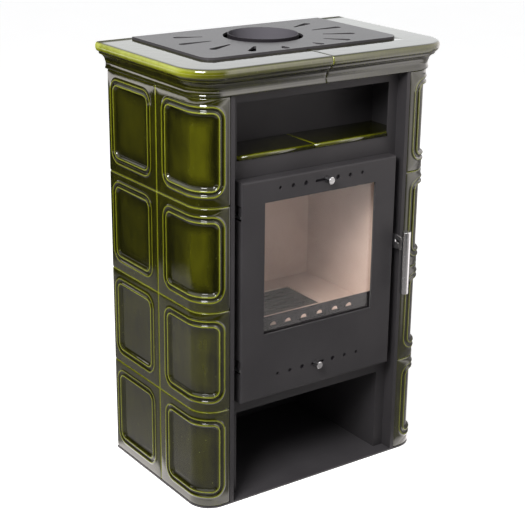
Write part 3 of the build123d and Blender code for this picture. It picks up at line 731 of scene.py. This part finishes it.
def cornice_stations():
    """Stations along the left half's wall line, from the back to the joint in front.

    Each gives x, y, outward x, outward y, inner end x and y, how far its edge is rounded
    off and how thin the glaze lies there next to the moulding's own table.
    """
    stations = []
    for step in range(side_steps + 1):
        y = half_d + (corner_y - half_d) * step / side_steps
        stations.append((-half_w, y, -1, 0, -ledge_x, max(y, ledge_y), 0, 1))
    for step in range(1, bend_steps + 1):
        turn = pi / 2 * step / bend_steps
        x, y = -corner_x - corner_r * cos(turn), corner_y - corner_r * sin(turn)
        # Painted shade: the glaze darkens round the bend towards the front.
        factor = 1 - (1 - front_shade_share) * step / bend_steps
        stations.append((x, y, -cos(turn), -sin(turn), -ledge_x, ledge_y, 0, factor))
    for step in range(1, front_steps + 1):
        x = -corner_x + (corner_x - front_end) * step / front_steps
        stations.append((x, -half_d, 0, -1, max(x, -ledge_x), ledge_y, 0, front_shade_share))
    for away, sunk, factor in joint_round:
        stations.append((-away, -half_d, 0, -1, -away, ledge_y, sunk, factor))
    return stations


def cornice_piece(name, mirrored):
    """Half of the moulded cornice, swept round the corner."""
    stations = cornice_stations()
    points, thins = [], []
    for x, y, out_x, out_y, inner_x, inner_y, sunk, factor in stations:
        ring = [
            (inner_x, inner_y, cornice_h - sunk, top_thin),
            (inner_x, inner_y, cornice_h - ledge_t, top_thin),
        ]
        for away, height, thin in moulding:
            out = away - sunk if away > 0 else away
            level = height - sunk if height > top_edge_z else height
            ring.append((x + out_x * out, y + out_y * out, level, min(thin * factor, 1)))
        for px, py, height, thin in ring:
            points.append(in_metres(px, py, tiles_top + height, mirrored))
            thins.append(thin)
    count = len(points) // len(stations)
    faces = ring_faces(len(stations), count)
    flat_faces = [index for index in range(len(faces)) if index % count < inner_faces]
    # Its two ends are flat too.
    flat_faces += [len(faces), len(faces) + 1]
    faces.append(tuple(range(count)))
    faces.append(tuple(reversed(range(len(points) - count, len(points)))))
    if not mirrored:
        faces = turned_over(faces)
    return glazed_piece(name, points, faces, thins, flat_faces)


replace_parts(cornice_piece("glazed_cornice_left", False), "cornice_left")
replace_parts(cornice_piece("glazed_cornice_right", True), "cornice_right")

# ---------------------------------------------------------------- shelf tiles
shelf_z = 757
shelf_t = 10
half_seam = 0.5
shelf_outer_x = 237
shelf_back_y = -52.5
shelf_front_y = -157
# In front of the panel's back the tile is narrower, to pass through the niche's opening.
shelf_neck_x = 196
shelf_neck_y = -152.5

# Plan of the left tile, and which way each corner moves when the outline shrinks.
shelf_plan = [
    (-half_seam, shelf_front_y, -1, 1),
    (-half_seam, shelf_back_y, -1, -1),
    (-shelf_outer_x, shelf_back_y, 1, -1),
    (-shelf_outer_x, shelf_neck_y, 1, 1),
    (-shelf_neck_x, shelf_neck_y, 1, 1),
    (-shelf_neck_x, shelf_front_y, 1, 1),
]

# Rounded edge of the tile: distance in, height, how thin the glaze lies. The top's near-zero
# thinness is painted shade, for the shadow that the niche casts on the shelf.
shelf_edge = [
    (0.6, 0.0, 0.1),
    (0.0, 0.6, 0.1),
    (0.0, 5.5, 0.3),
    (0.35, 7.2, 0.5),
    (1.3, 8.8, 0.6),
    (2.7, 9.7, 0.3),
    (4.5, shelf_t, 0.06),
    (9.0, shelf_t, 0.0),
    (14.0, shelf_t, 0.0),
]


def shelf_piece(name, mirrored):
    """One glazed shelf tile with its rounded front edge."""
    points, thins = [], []
    for inset, height, thin in shelf_edge:
        for x, y, in_x, in_y in shelf_plan:
            points.append(in_metres(x + in_x * inset, y + in_y * inset, shelf_z + height, mirrored))
            thins.append(thin)
    count = len(shelf_plan)
    underside = tuple(reversed(range(count)))
    top = tuple(range(len(points) - count, len(points)))
    faces = [underside, *ring_faces(len(shelf_edge), count), top]
    if mirrored:
        faces = turned_over(faces)
    return glazed_piece(name, points, faces, thins, [0], "shelf_glaze")


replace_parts(shelf_piece("glazed_shelf_left", False), "shelf_tile_left")
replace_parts(shelf_piece("glazed_shelf_right", True), "shelf_tile_right")

# ---------------------------------------------------------------- floor and world
floor_size = 14
# Light that the floor gives off where it is looked at.
floor_glow = 0.8


def seen_white(tree):
    """1 for rays that show the background: from the camera, in glossy metal and through glass.

    Rays that a matt surface sent out through the window don't count, so the firebox stays dim.
    """
    path = tree.nodes.new("ShaderNodeLightPath")
    straight = sums(tree, "LESS_THAN", path.outputs["Diffuse Depth"], 0.5)
    through = sums(tree, "MULTIPLY", path.outputs["Is Transmission Ray"], straight)
    most = sums(tree, "MAXIMUM", path.outputs["Is Camera Ray"], path.outputs["Is Glossy Ray"])
    return sums(tree, "MAXIMUM", most, through)


def floor_material():
    """Pale studio floor: lit paper, lifted to white where it is looked at, with the shadow kept."""
    material, tree, shader = new_material("studio_floor")
    where = place_of(tree)
    paper = two_tone(tree, noise(tree, where, scale=3), (0.70, 0.69, 0.68), (0.74, 0.73, 0.72))
    tree.links.new(paper, shader.inputs["Base Color"])
    shader.inputs["Roughness"].default_value = 0.9
    shader.inputs["Specular IOR Level"].default_value = 0.1
    shader.inputs["Emission Color"].default_value = (1, 1, 1, 1)
    glow = sums(tree, "MULTIPLY", seen_white(tree), floor_glow)
    tree.links.new(glow, shader.inputs["Emission Strength"])
    return material


def studio_floor():
    """A wide flat square under the stove."""
    mesh = bpy.data.meshes.new("studio_floor")
    half = floor_size / 2
    corners = [(-half, -half, 0), (half, -half, 0), (half, half, 0), (-half, half, 0)]
    mesh.from_pydata(corners, [], [(0, 1, 2, 3)])
    mesh.materials.append(floor_material())
    plane = bpy.data.objects.new("studio_floor", mesh)
    bpy.context.scene.collection.objects.link(plane)


def studio_world():
    """White where the background is seen, soft grey light elsewhere."""
    world = bpy.data.worlds.new("studio")
    bpy.context.scene.world = world
    tree, surface = empty_tree(world, "ShaderNodeOutputWorld")
    shown = tree.nodes.new("ShaderNodeBackground")
    shown.inputs["Color"].default_value = (1, 1, 1, 1)
    light = tree.nodes.new("ShaderNodeBackground")
    light.inputs["Color"].default_value = (0.93, 0.96, 1.0, 1)
    light.inputs["Strength"].default_value = 0.22
    either_shader(tree, seen_white(tree), light, shown, surface)


studio_floor()
studio_world()

# ---------------------------------------------------------------- reflected studio


def glowing_material(name):
    """Studio card that gives off the light stored at each of its points, a little cloudy."""
    material, tree, card = new_material(name, "ShaderNodeEmission")
    glow = tree.nodes.new("ShaderNodeAttribute")
    glow.attribute_name = "glow"
    cloud = span(tree, noise(tree, place_of(tree), scale=3, detail=2), usual_noise, (0.85, 1.15))
    card.inputs["Color"].default_value = (1.0, 0.95, 0.93, 1)
    tree.links.new(sums(tree, "MULTIPLY", cloud, glow.outputs["Fac"]), card.inputs["Strength"])
    return material


def reflected_card(name, rings):
    """A studio card seen only in reflections; rings are closed lists of (x, y, z, glow)."""
    points = [point[:3] for ring in rings for point in ring]
    glows = [point[3] for ring in rings for point in ring]
    faces = ring_faces(len(rings), len(rings[0]))
    card = new_mesh(name, points, faces, "glow", glows, glowing_material(name))
    card.visible_camera = False
    card.visible_diffuse = False
    card.visible_shadow = False
    card.visible_transmission = False


# Light of the studio wall, one line per height in metres: towards the left, the front, the
# front right corner, the right and the back, seen from the stove.
wall_light = [
    (0.0, 0.38, 0.36, 0.5, 0.36, 0.3),
    (0.08, 0.38, 0.36, 1.4, 0.36, 0.3),
    (0.21, 0.38, 0.36, 2.2, 0.36, 0.3),
    (0.25, 0.02, 0.45, 2.3, 0.4, 0.3),
    (0.5, 0.02, 0.75, 2.3, 0.5, 0.3),
    (0.66, 0.02, 1.3, 2.3, 0.6, 0.3),
    (0.735, 0.02, 1.7, 2.1, 0.8, 0.3),
    (0.75, 2.4, 2.8, 2.1, 2.0, 0.3),
    (0.79, 2.4, 2.8, 2.1, 2.0, 0.3),
    (0.81, 0.02, 2.8, 2.1, 1.8, 0.3),
    (1.15, 0.02, 3.2, 2.1, 1.8, 0.3),
    (1.8, 0.02, 3.2, 2.1, 1.8, 0.3),
]
wall_radius = 0.95
wall_steps = 72
# The wall is lower on the left and at the back than in front.
left_top = 1.15
back_top = 0.9
# Azimuths in degrees at which its height changes.
left_begins = -160
front_begins = 0
back_begins = 100


def glow_at(azimuth, left, front, corner, right, back):
    """How light the studio wall is in this direction, 0 degrees being in front of the stove."""
    stops = [
        (-180, back),
        (left_begins, left),
        (-8, left),
        (12, front),
        (32, front),
        (44, corner),
        (60, corner),
        (75, right),
        (95, right),
        (115, back),
        (180, back),
    ]
    for (start, low), (end, high) in zip(stops, stops[1:]):
        if start <= azimuth <= end:
            return low + (high - low) * (azimuth - start) / (end - start)


def wall_top(azimuth):
    """How high the studio wall stands in this direction."""
    if azimuth < left_begins or azimuth > back_begins:
        return back_top
    return left_top if azimuth < front_begins else wall_light[-1][0]


wall_rings = []
for height, *lights in wall_light:
    ring = []
    for step in range(wall_steps):
        azimuth = -180 + 360 * step / wall_steps
        x, y = wall_radius * sin(radians(azimuth)), -wall_radius * cos(radians(azimuth))
        ring.append((x, y, min(height, wall_top(azimuth)), glow_at(azimuth, *lights)))
    wall_rings.append(ring)
reflected_card("studio_wall", wall_rings)

# Light of the floor round the stove: metres out from the tiles' faces, and how much it glows.
floor_light = [(-0.02, 2.4), (0.028, 2.2), (0.048, 0.5), (0.2, 0.4), (0.45, 0.4), (0.75, 0.38)]
card_lift = 0.0004
quarter_steps = 6
floor_rings = []
for away, glow in floor_light:
    ring = []
    reach = corner_r * mm + away
    for x_side, y_side, start in ((1, -1, 0), (1, 1, 90), (-1, 1, 180), (-1, -1, 270)):
        for step in range(quarter_steps + 1):
            turn = radians(start + 90 * step / quarter_steps)
            x = x_side * corner_x * mm + reach * sin(turn)
            y = -y_side * corner_y * mm - reach * cos(turn)
            ring.append((x, y, card_lift, glow))
    floor_rings.append(ring)
reflected_card("studio_floor_card", floor_rings)

# ---------------------------------------------------------------- lamps
stove_middle = (0, 0, 0.5)
stove_top = (0, 0, 0.9)
cornice_middle = (0, 0, 0.95)


def soft_lamp(name, place, target, width, height, power, colour=(1, 1, 1), glossy=True):
    """A rectangular soft box aimed at a point."""
    data = bpy.data.lights.new(name, "AREA")
    data.shape = "RECTANGLE"
    data.size = width
    data.size_y = height
    data.energy = power
    data.color = colour
    lamp = bpy.data.objects.new(name, data)
    lamp.location = place
    lamp.rotation_euler = (Vector(place) - Vector(target)).to_track_quat("Z", "Y").to_euler()
    lamp.visible_glossy = glossy
    bpy.context.scene.collection.objects.link(lamp)


def from_direction(azimuth, elevation, distance):
    """Point this far from the stove's middle, in this direction."""
    flat = distance * cos(radians(elevation))
    return (
        flat * sin(radians(azimuth)),
        -flat * cos(radians(azimuth)),
        stove_middle[2] + distance * sin(radians(elevation)),
    )


key_place = from_direction(azimuth=-58, elevation=38, distance=2.4)
soft_lamp("key", key_place, stove_middle, width=0.85, height=0.9, power=66)
top_place = (-0.5, -0.9, 3.1)
soft_lamp("top", top_place, stove_top, width=2.0, height=2.0, power=25, glossy=False)
back_place = from_direction(azimuth=142, elevation=17, distance=3.4)
cool_white = (0.93, 0.97, 1.0)
soft_lamp("back", back_place, cornice_middle, width=5.0, height=2.2, power=17, colour=cool_white)
